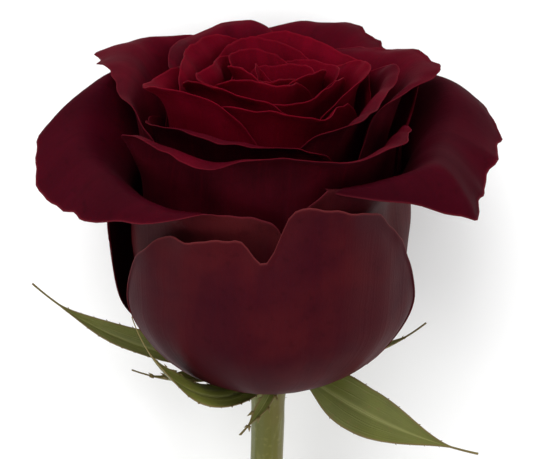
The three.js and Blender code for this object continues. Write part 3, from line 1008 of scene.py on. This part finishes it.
def vein_group() -> NodeTree:
    """Builds, once, the pattern of veins that fan out from a blade's base and fork towards its rim.

    Returns:
        A shader node group with inputs Blade (the blade's own coordinates), Layer (which keeps each blade
        unlike the others), Count and Wander, and outputs Veins, which is 1 on a vein, Streaks, soft bands
        along the blade, and Relief, a height from 0 to 1.
    """
    name = "blade veins"
    if name in bpy.data.node_groups:
        return bpy.data.node_groups[name]
    tree, wire, given = begin_tree(
        name, "ShaderNodeTree",
        {"Blade": ("Vector", None), "Layer": ("Float", None), "Count": ("Float", 16.0),
         "Wander": ("Float", 0.03)},
        {"Veins": "Float", "Streaks": "Float", "Relief": "Float"},
    )
    parts = wire.add("ShaderNodeSeparateXYZ", {0: given["Blade"]}).outputs
    own = wire.add("ShaderNodeCombineXYZ", {0: parts["X"], 1: parts["Y"], 2: given["Layer"]}).outputs[0]
    cloud = wire.math("SUBTRACT", wire.noise(own, 5.0, 4.0, 0.6), 0.5)
    across = wire.plus(parts["X"], wire.times(cloud, given["Wander"]))
    layers = []
    for fork, (start, end) in enumerate(((-1.0, -0.5), (0.2, 0.42), (0.5, 0.8))):
        beat = wire.times(given["Count"], float(2**fork))
        phase = wire.math("FRACT", wire.times(across, beat))
        centred = wire.math("ABSOLUTE", wire.math("SUBTRACT", phase, 0.5))
        ridge = wire.step(centred, 0.10, 0.0)
        layers.append(wire.times(ridge, wire.step(parts["Y"], start, end, 0.0, 1.0 / (1 + fork))))
    veins = wire.math("MAXIMUM", wire.math("MAXIMUM", layers[0], layers[1]), layers[2])
    off_rib = wire.math("ABSOLUTE", wire.math("SUBTRACT", across, 0.5))
    rib = wire.times(wire.step(off_rib, 0.011, 0.0), wire.step(parts["Y"], 0.9, 0.5))
    fade = wire.step(parts["Y"], 1.0, 0.9)
    shown = wire.times(wire.math("MAXIMUM", veins, rib), fade)
    drawn_out = wire.add("ShaderNodeMapping", {"Vector": own, "Scale": (13.0, 1.7, 1.0)}).outputs[0]
    streaks = wire.step(wire.noise(drawn_out, 1.0, 4.0, 0.5), 0.36, 0.68)
    relief = wire.total(shown, 0.5, wire.noise(own, 14.0, 3.0), 0.5)
    wire.add("NodeGroupOutput", {"Veins": shown, "Streaks": streaks, "Relief": relief})
    return tree


def mottle_group() -> NodeTree:
    """Builds, once, the cloudy and fine unevenness of living skin.

    Returns:
        A shader node group with inputs Place (object coordinates) and Scale, and outputs Cloud, broad and
        soft, Fleck, fine spots, and Grain, the finest cells.
    """
    name = "skin mottle"
    if name in bpy.data.node_groups:
        return bpy.data.node_groups[name]
    tree, wire, given = begin_tree(
        name, "ShaderNodeTree", {"Place": ("Vector", None), "Scale": ("Float", 1.0)},
        {out: "Float" for out in ("Cloud", "Fleck", "Grain")},
    )
    scaled = wire.add("ShaderNodeVectorMath", {0: given["Place"], "Scale": given["Scale"]}, operation="SCALE")
    place = scaled.outputs[0]
    cloud = wire.step(wire.noise(place, 75.0, 4.0, 0.3), 0.33, 0.67)
    fleck = wire.step(wire.noise(place, 620.0, 3.0), 0.56, 0.74)
    grain = wire.noise(place, 3600.0, 2.0)
    wire.add("NodeGroupOutput", {"Cloud": cloud, "Fleck": fleck, "Grain": grain})
    return tree


class Skin(Wiring):
    """The wiring of one material, with its shader and the patterns that the rose's skins share."""

    def __init__(self, name: str) -> None:
        """Starts a material of this name."""
        self.material = bpy.data.materials.new(name)
        self.material.use_nodes = True
        self.material.node_tree.nodes.clear()
        super().__init__(self.material.node_tree)
        self.shader = self.add("ShaderNodeBsdfPrincipled")
        self.add("ShaderNodeOutputMaterial", {"Surface": self.shader.outputs[0]})

    def place(self) -> NodeSocket:
        """Object coordinates."""
        return self.add("ShaderNodeTexCoord").outputs["Object"]

    def blade(self) -> NodeSocket:
        """A blade's own coordinates, across it and along it."""
        return self.add("ShaderNodeUVMap", uv_map="blade").outputs[0]

    def attribute(self, name: str) -> NodeSocket:
        """A number that the mesh stores at each of its points."""
        return self.add("ShaderNodeAttribute", attribute_name=name).outputs["Fac"]

    def mottle(self, scale: float = 1.0) -> NodeOutputs:
        """The skin's unevenness, as Cloud, Fleck and Grain."""
        inputs = {"Place": self.place(), "Scale": scale}
        return self.add("ShaderNodeGroup", inputs, node_tree=mottle_group()).outputs

    def veins(self, **inputs: object) -> NodeOutputs:
        """A blade's veins, as Veins, Streaks and Relief."""
        return self.add("ShaderNodeGroup", {"Blade": self.blade(), **inputs}, node_tree=vein_group()).outputs

    def finish(self, base: object, height: object, strength: float, distance: float,
               others: dict[str, object]) -> Material:
        """Joins the patterns to the shader.

        Args:
            base: The colour.
            height: The fine relief, from 0 to 1.
            strength: How strongly the relief shows.
            distance: How high it stands, in metres.
            others: A socket or a constant for each of the shader's other inputs.

        Returns:
            The finished material.
        """
        bump = self.add("ShaderNodeBump", {"Strength": strength, "Distance": distance, "Height": height})
        self.feed(self.shader, {"Base Color": base, "Normal": bump.outputs[0], **others})
        return self.material


@dataclass(frozen=True)
class PetalFinish:
    """The velvet of one zone of petals: deep red inside, duller and veined outside, with pale fine edges that
    are a painted highlight of light catching the thin rims.
    """

    name: str
    # inner_deep carries painted shade deep in the cup; inner_bright carries painted light towards the rims.
    inner_deep: Colour
    inner_bright: Colour
    outer_dark: Colour
    outer_light: Colour
    # edge: the pale colour of the painted highlight where light catches the thin rims.
    edge: Colour = (0.30, 0.045, 0.06)
    vein_count: float = 13.0
    vein_strength: float = 0.35
    painted_rim_highlight_share: float = 0.5
    roughness: float = 0.62
    outer_roughness: float = 0.48
    specular: float = 0.22
    sheen: float = 0.12
    sheen_roughness: float = 0.45
    sheen_tint: Colour = (0.75, 0.2, 0.25)
    glow: float = 0.08
    glow_radius: Colour = (1.0, 0.12, 0.1)
    glow_scale: float = 0.0012
    relief: float = 0.3
    relief_height: float = 0.0002

    def material(self) -> Material:
        """Builds the material."""
        skin = Skin(self.name)
        inner = skin.attribute("inner")
        veins = skin.veins(Layer=skin.attribute("layer"), Count=self.vein_count)
        mottle = skin.mottle()
        # Painted light and shade: the inner face is darker towards the claw, deep in the cup, and lighter
        # towards the rim, where light falls. The cloud and streaks that break this up are the petal's own
        # uneven red.
        reach = skin.add("ShaderNodeSeparateXYZ", {0: skin.blade()}).outputs["Y"]
        uneven_red = skin.total(mottle["Cloud"], 0.3, veins["Streaks"], 0.3)
        painted_light_to_rim = skin.times(skin.step(reach, 0.35, 0.95), skin.plus(uneven_red, 0.4))
        inside = skin.blend(painted_light_to_rim, colour(*self.inner_deep), colour(*self.inner_bright))
        clouded = skin.total(mottle["Cloud"], 0.75, veins["Streaks"], 0.25)
        outside = skin.blend(clouded, colour(*self.outer_dark), colour(*self.outer_light))
        streak = skin.times(veins["Veins"], self.vein_strength)
        redder = colour(*(0.75 * a + 0.25 * b for a, b in zip(self.inner_bright, self.outer_dark)))
        outside = skin.blend(streak, outside, redder)
        darker = colour(*(0.45 * c for c in self.inner_deep))
        inside = skin.blend(skin.times(streak, 0.5), inside, darker)
        body = skin.blend(inner, outside, inside)
        flecked = skin.blend(skin.times(mottle["Fleck"], 0.22), body, darker)
        # Painted highlight: within about half a millimetre of the blade's sides and rim, the colour is mixed
        # towards the pale edge colour, standing in for light catching the thin rims.
        pale = skin.times(skin.step(skin.attribute("edge"), 0.55, 0.0), self.painted_rim_highlight_share)
        with_painted_rim_highlight = skin.blend(pale, flecked, colour(*self.edge))
        height = skin.total(veins["Relief"], 0.5, mottle["Grain"], 0.5)
        matte = skin.add("ShaderNodeMapRange", {"Value": inner, "To Min": self.outer_roughness,
                                                "To Max": self.roughness}).outputs[0]
        return skin.finish(with_painted_rim_highlight, height, self.relief, self.relief_height, {
            "Roughness": skin.plus(matte, skin.times(mottle["Grain"], 0.08)),
            "Specular IOR Level": self.specular,
            "Sheen Weight": self.sheen,
            "Sheen Roughness": self.sheen_roughness,
            "Sheen Tint": colour(*self.sheen_tint),
            "Subsurface Weight": self.glow,
            "Subsurface Radius": self.glow_radius,
            "Subsurface Scale": self.glow_scale,
        })


@dataclass(frozen=True)
class LeafFinish:
    """The dull green of the sepals, paler underneath, browned along its edges."""

    name: str
    upper: Colour
    under: Colour
    vein: Colour
    edge: Colour
    vein_count: float = 5.0
    vein_wander: float = 0.08
    mottle_scale: float = 1.8
    roughness: float = 0.48
    specular: float = 0.35
    relief: float = 0.6
    relief_height: float = 0.0003

    def material(self) -> Material:
        """Builds the material."""
        skin = Skin(self.name)
        veins = skin.veins(Count=self.vein_count, Wander=self.vein_wander)
        mottle = skin.mottle(self.mottle_scale)
        sided = skin.blend(skin.attribute("inner"), colour(*self.under), colour(*self.upper))
        aged = colour(*(0.6 * c for c in self.upper))
        clouded = skin.blend(skin.times(mottle["Cloud"], 0.5), sided, aged)
        across = skin.add("ShaderNodeSeparateXYZ", {0: skin.blade()}).outputs["X"]
        off_rib = skin.math("ABSOLUTE", skin.math("SUBTRACT", across, 0.5))
        rib = skin.step(off_rib, 0.09, 0.01, 0.0, 0.7)
        drawn = skin.math("MAXIMUM", rib, skin.times(veins["Veins"], 0.16))
        ribbed = skin.blend(drawn, clouded, colour(*self.vein))
        brown = skin.step(skin.attribute("edge"), 0.5, 0.0, 0.0, 0.6)
        browned = skin.blend(brown, ribbed, colour(*self.edge))
        spotted = skin.blend(skin.times(mottle["Fleck"], 0.3), browned, colour(*self.edge))
        height = skin.total(veins["Relief"], 0.7, mottle["Grain"], 0.3)
        return skin.finish(spotted, height, self.relief, self.relief_height, {
            "Roughness": skin.plus(skin.times(mottle["Grain"], 0.15), self.roughness),
            "Specular IOR Level": self.specular,
        })


@dataclass(frozen=True)
class StemFinish:
    """The stem's smooth green skin, with lengthwise streaks and a browner side."""

    name: str
    green: Colour
    brown: Colour
    pale: Colour
    mottle_scale: float = 1.4
    roughness: float = 0.42
    specular: float = 0.4
    relief: float = 0.5
    relief_height: float = 0.0003

    def material(self) -> Material:
        """Builds the material."""
        skin = Skin(self.name)
        mottle = skin.mottle(self.mottle_scale)
        turn = skin.times(skin.attribute("around"), 2 * math.pi)
        sunward = skin.times(skin.plus(skin.math("COSINE", turn), 1.0), 0.5)
        low = skin.step(skin.attribute("level"), -4.0, -60.0, 0.0, 0.35)
        tan = skin.plus(skin.times(sunward, 0.75), low, clamp=True)
        clouded = skin.times(tan, skin.step(mottle["Cloud"], 0, 1, 0.6, 1.0))
        bark = skin.blend(clouded, colour(*self.green), colour(*self.brown))
        lengthwise = {"Vector": skin.place(), "Scale": (1.0, 0.06, 1.0)}
        drawn_out = skin.add("ShaderNodeMapping", lengthwise).outputs[0]
        streak = skin.step(skin.noise(drawn_out, 900.0, 3.0), 0.5, 0.75, 0.0, 0.35)
        streaked = skin.blend(streak, bark, colour(*self.pale))
        spotted = skin.blend(skin.times(mottle["Fleck"], 0.35), streaked, colour(*self.pale))
        height = skin.total(streak, 1.2, mottle["Grain"], 0.3)
        return skin.finish(spotted, height, self.relief, self.relief_height, {
            "Roughness": skin.plus(skin.times(mottle["Cloud"], 0.12), self.roughness),
            "Specular IOR Level": self.specular,
        })


@dataclass(frozen=True)
class CutFinish:
    """The cut end of the stem: pale pith inside a fibrous ring."""

    name: str
    pith: Colour
    ring: Colour
    mottle_scale: float = 2.5
    roughness: float = 0.7
    relief: float = 0.6
    relief_height: float = 0.0003

    def material(self) -> Material:
        """Builds the material."""
        skin = Skin(self.name)
        mottle = skin.mottle(self.mottle_scale)
        woody = skin.step(skin.attribute("section"), 0.45, 0.72)
        body = skin.blend(woody, colour(*self.pith), colour(*self.ring))
        dark = colour(*(0.5 * c for c in self.ring))
        spotted = skin.blend(skin.times(mottle["Fleck"], 0.5), body, dark)
        given = {"Roughness": self.roughness}
        return skin.finish(spotted, mottle["Grain"], self.relief, self.relief_height, given)


# ---------------------------------------------------------------------------------------------------------
# Studio


@dataclass(frozen=True)
class SoftBox:
    """One square soft light, placed round the bloom in the rose's own frame."""

    name: str
    azimuth: float
    elevation: float
    distance: float
    size: float
    power: float

    def build(self, resting: Resting, centre: Vector) -> None:
        """Hangs the light so that it faces the bloom.

        Args:
            resting: How the rose lies.
            centre: The middle of the bloom in the part's frame.
        """
        lamp = bpy.data.lights.new(self.name, "AREA")
        lamp.energy = self.power
        lamp.size = self.size
        azimuth, elevation = math.radians(self.azimuth), math.radians(self.elevation)
        away = Vector((math.cos(azimuth) * math.cos(elevation), math.sin(azimuth) * math.cos(elevation),
                       math.sin(elevation)))
        away = resting.matrix().to_3x3() @ away
        light = bpy.data.objects.new(self.name, lamp)
        light.location = centre + away * self.distance
        light.rotation_mode = "QUATERNION"
        light.rotation_quaternion = away.to_track_quat("Z", "Y")
        bpy.context.scene.collection.objects.link(light)


@dataclass(frozen=True)
class Studio:
    """The pale floor, the soft lights and the camera."""

    resting: Resting
    floor_size: float = 3.0
    floor_colour: Colour = (0.93, 0.93, 0.93)
    ambient: float = 0.72
    bloom_middle: float = 30.0
    lens: float = 135.0
    sensor: float = 36.0
    picture_width: float = 93.3
    camera_rise: float = 27.0
    aim: Colour = (-0.3, 0.0, 28.0)

    def build(self) -> None:
        """Makes the floor, lights, world and camera."""
        self.add_floor()
        centre = self.resting.matrix() @ (Vector((0.0, 0.0, self.bloom_middle)) * MILLIMETRE)
        for light in (
            SoftBox("key", azimuth=245, elevation=60, distance=0.75, size=0.45, power=4.6),
            SoftBox("low left", azimuth=232, elevation=-10, distance=0.7, size=0.4, power=1.3),
            SoftBox("fill", azimuth=325, elevation=10, distance=0.8, size=0.5, power=2.0),
        ):
            light.build(self.resting, centre)
        world = bpy.data.worlds.new("studio")
        world.use_nodes = True
        backdrop = world.node_tree.nodes["Background"].inputs
        backdrop["Color"].default_value = colour(1.0, 1.0, 1.0)
        backdrop["Strength"].default_value = self.ambient
        bpy.context.scene.world = world
        bpy.context.scene.view_settings.view_transform = "Standard"
        self.add_camera()

    def add_floor(self) -> None:
        """Lays the floor under the rose."""
        half = self.floor_size / 2
        mesh = bpy.data.meshes.new("floor")
        mesh.from_pydata([(-half, -half, 0), (half, -half, 0), (half, half, 0), (-half, half, 0)], [],
                         [(0, 1, 2, 3)])
        paper = Skin("floor paper")
        paper.feed(paper.shader, {"Base Color": colour(*self.floor_colour), "Roughness": 0.9})
        mesh.materials.append(paper.material)
        show(mesh, "floor")

    def add_camera(self) -> None:
        """Sets the camera before the bloom and above its rim, as one looks at a standing rose."""
        rise = math.radians(self.camera_rise)
        away = Vector((0.0, -math.cos(rise), math.sin(rise)))
        up = Vector((0.0, math.sin(rise), math.cos(rise)))
        turn = Matrix((up.cross(away), up, away)).transposed().to_4x4()
        distance = self.picture_width * self.lens / self.sensor
        turn.translation = (Vector(self.aim) + away * distance) * MILLIMETRE
        view = bpy.data.cameras.new("camera")
        view.lens = self.lens
        view.sensor_width = self.sensor
        view.clip_start = 0.01
        camera = bpy.data.objects.new("camera", view)
        camera.matrix_world = self.resting.matrix() @ turn
        bpy.context.scene.collection.objects.link(camera)
        bpy.context.scene.camera = camera


def petal_finishes() -> dict[Zone, Material]:
    """The materials of the four zones of the bloom."""
    # In each zone, edge and the painted rim highlight share set the painted highlight along the petals' rims.
    finishes = {
        Zone.BOWL: PetalFinish(
            "bowl velvet", inner_deep=(0.022, 0.0008, 0.0030), inner_bright=(0.045, 0.0012, 0.005),
            outer_dark=(0.028, 0.0016, 0.0050), outer_light=(0.050, 0.0040, 0.0062), vein_strength=0.14,
            edge=(0.12, 0.020, 0.022), painted_rim_highlight_share=0.6, specular=0.032, sheen=0.010,
        ),
        Zone.GUARD: PetalFinish(
            "guard velvet", inner_deep=(0.016, 0.0004, 0.0024), inner_bright=(0.042, 0.0008, 0.0048),
            outer_dark=(0.028, 0.0028, 0.0045), outer_light=(0.054, 0.0060, 0.0075), vein_strength=0.25,
            edge=(0.12, 0.012, 0.02), specular=0.022, sheen=0.007,
        ),
        # Painted shade: the middle petals' outer faces are darkened past their own dark burgundy, standing in
        # for the shade in the wells at the front of the bloom.
        Zone.MIDDLE: PetalFinish(
            "middle velvet with painted shade", inner_deep=(0.020, 0.0003, 0.0024), inner_bright=(0.066, 0.0006, 0.0055),
            outer_dark=(0.016, 0.0004, 0.0020), outer_light=(0.040, 0.0014, 0.0044), vein_strength=0.2,
            edge=(0.12, 0.007, 0.015), specular=0.018, sheen=0.006, painted_rim_highlight_share=0.28,
        ),
        # Painted light: the heart's reds are far brighter than the other zones'. This is partly the heart
        # petals' own brighter red and partly painted glow of light bouncing between them.
        Zone.HEART: PetalFinish(
            "heart velvet with painted bounce light", inner_deep=(0.040, 0.0002, 0.0028), inner_bright=(0.098, 0.0004, 0.0062),
            outer_dark=(0.062, 0.0003, 0.0040), outer_light=(0.096, 0.0008, 0.0070), vein_strength=0.2,
            edge=(0.14, 0.006, 0.014), specular=0.015, sheen=0.005, roughness=0.66, painted_rim_highlight_share=0.2,
        ),
    }
    return {zone: finish.material() for zone, finish in finishes.items()}


def main() -> None:
    """Builds the rose piece by piece around the frame, then the studio."""
    logging.basicConfig(level=logging.INFO, format="%(name)s: %(message)s")
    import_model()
    stem = Stem()
    resting = Resting.on_frame(stem)
    bark = StemFinish("stem skin", green=(0.080, 0.090, 0.005), brown=(0.145, 0.105, 0.015),
                      pale=(0.21, 0.20, 0.055)).material()
    cut = CutFinish("stem cut", pith=(0.55, 0.55, 0.36), ring=(0.30, 0.32, 0.14)).material()
    stem.build(resting, bark, cut)
    leaf = LeafFinish("sepal green", upper=(0.115, 0.124, 0.018), under=(0.15, 0.157, 0.034),
                      vein=(0.22, 0.225, 0.07), edge=(0.16, 0.09, 0.035)).material()
    Calyx(resting).build(leaf)
    Bloom(resting).build(petal_finishes())
    Studio(resting).build()


if __name__ == "__main__":
    main()
